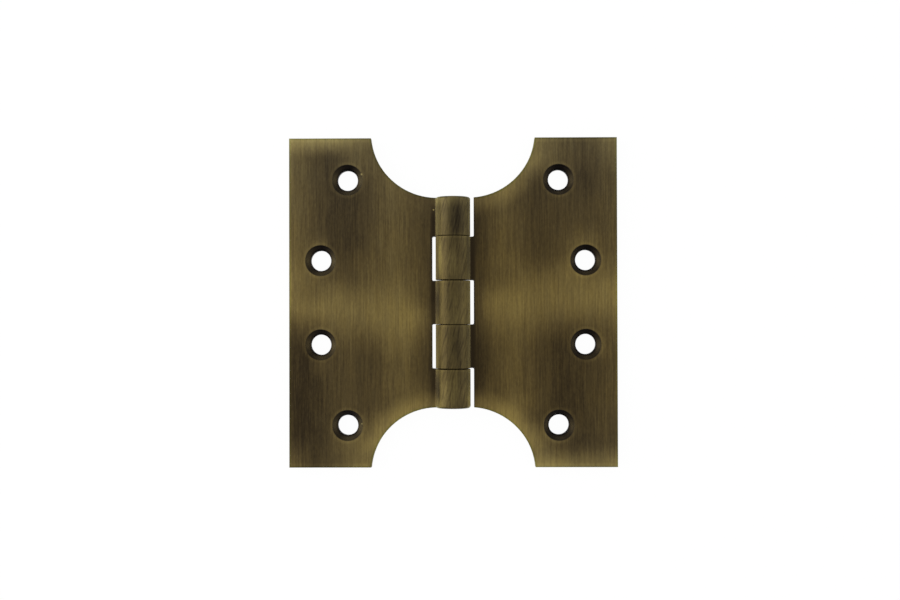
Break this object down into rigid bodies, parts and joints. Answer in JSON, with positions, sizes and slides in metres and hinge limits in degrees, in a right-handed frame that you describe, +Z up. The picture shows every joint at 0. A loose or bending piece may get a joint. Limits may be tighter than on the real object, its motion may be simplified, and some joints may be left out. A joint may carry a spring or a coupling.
{
  "type": "parliament hinge",
  "caption": "Flat-laid parliament hinge in brushed antique brass: wide leaves with countersunk screw holes, scooped to a narrow neck beside an interleaved knuckle barrel on a fixed pin.",
  "frame": {"origin": "under the middle of the barrel, on the surface that the hinge lies on", "axes": "+Z up, out of the countersunk faces; +Y along the pin, up in the picture; +X towards the two-knuckle leaf"},
  "size_m": [0.1016, 0.1021, 0.0107],
  "materials": {
    "leaf_brass": "antique brass, darkened and then brushed along the pin, matt lacquer",
    "pin_brass": "antique brass like the leaves, brushed at its ends with the barrel"
  },
  "bodies": {
    "fixed_leaf": {"left_leaf": "leaf_brass", "hinge_pin": "pin_brass"},
    "turning_leaf": {"right_leaf": "leaf_brass"}
  },
  "joints": [
    {"name": "pin_joint", "type": "hinge", "parent": "fixed_leaf", "child": "turning_leaf", "pos_m": [0, 0, 0.00535], "axis": [0, -1, 0], "range_deg": [-106, 182.5]}
  ]
}
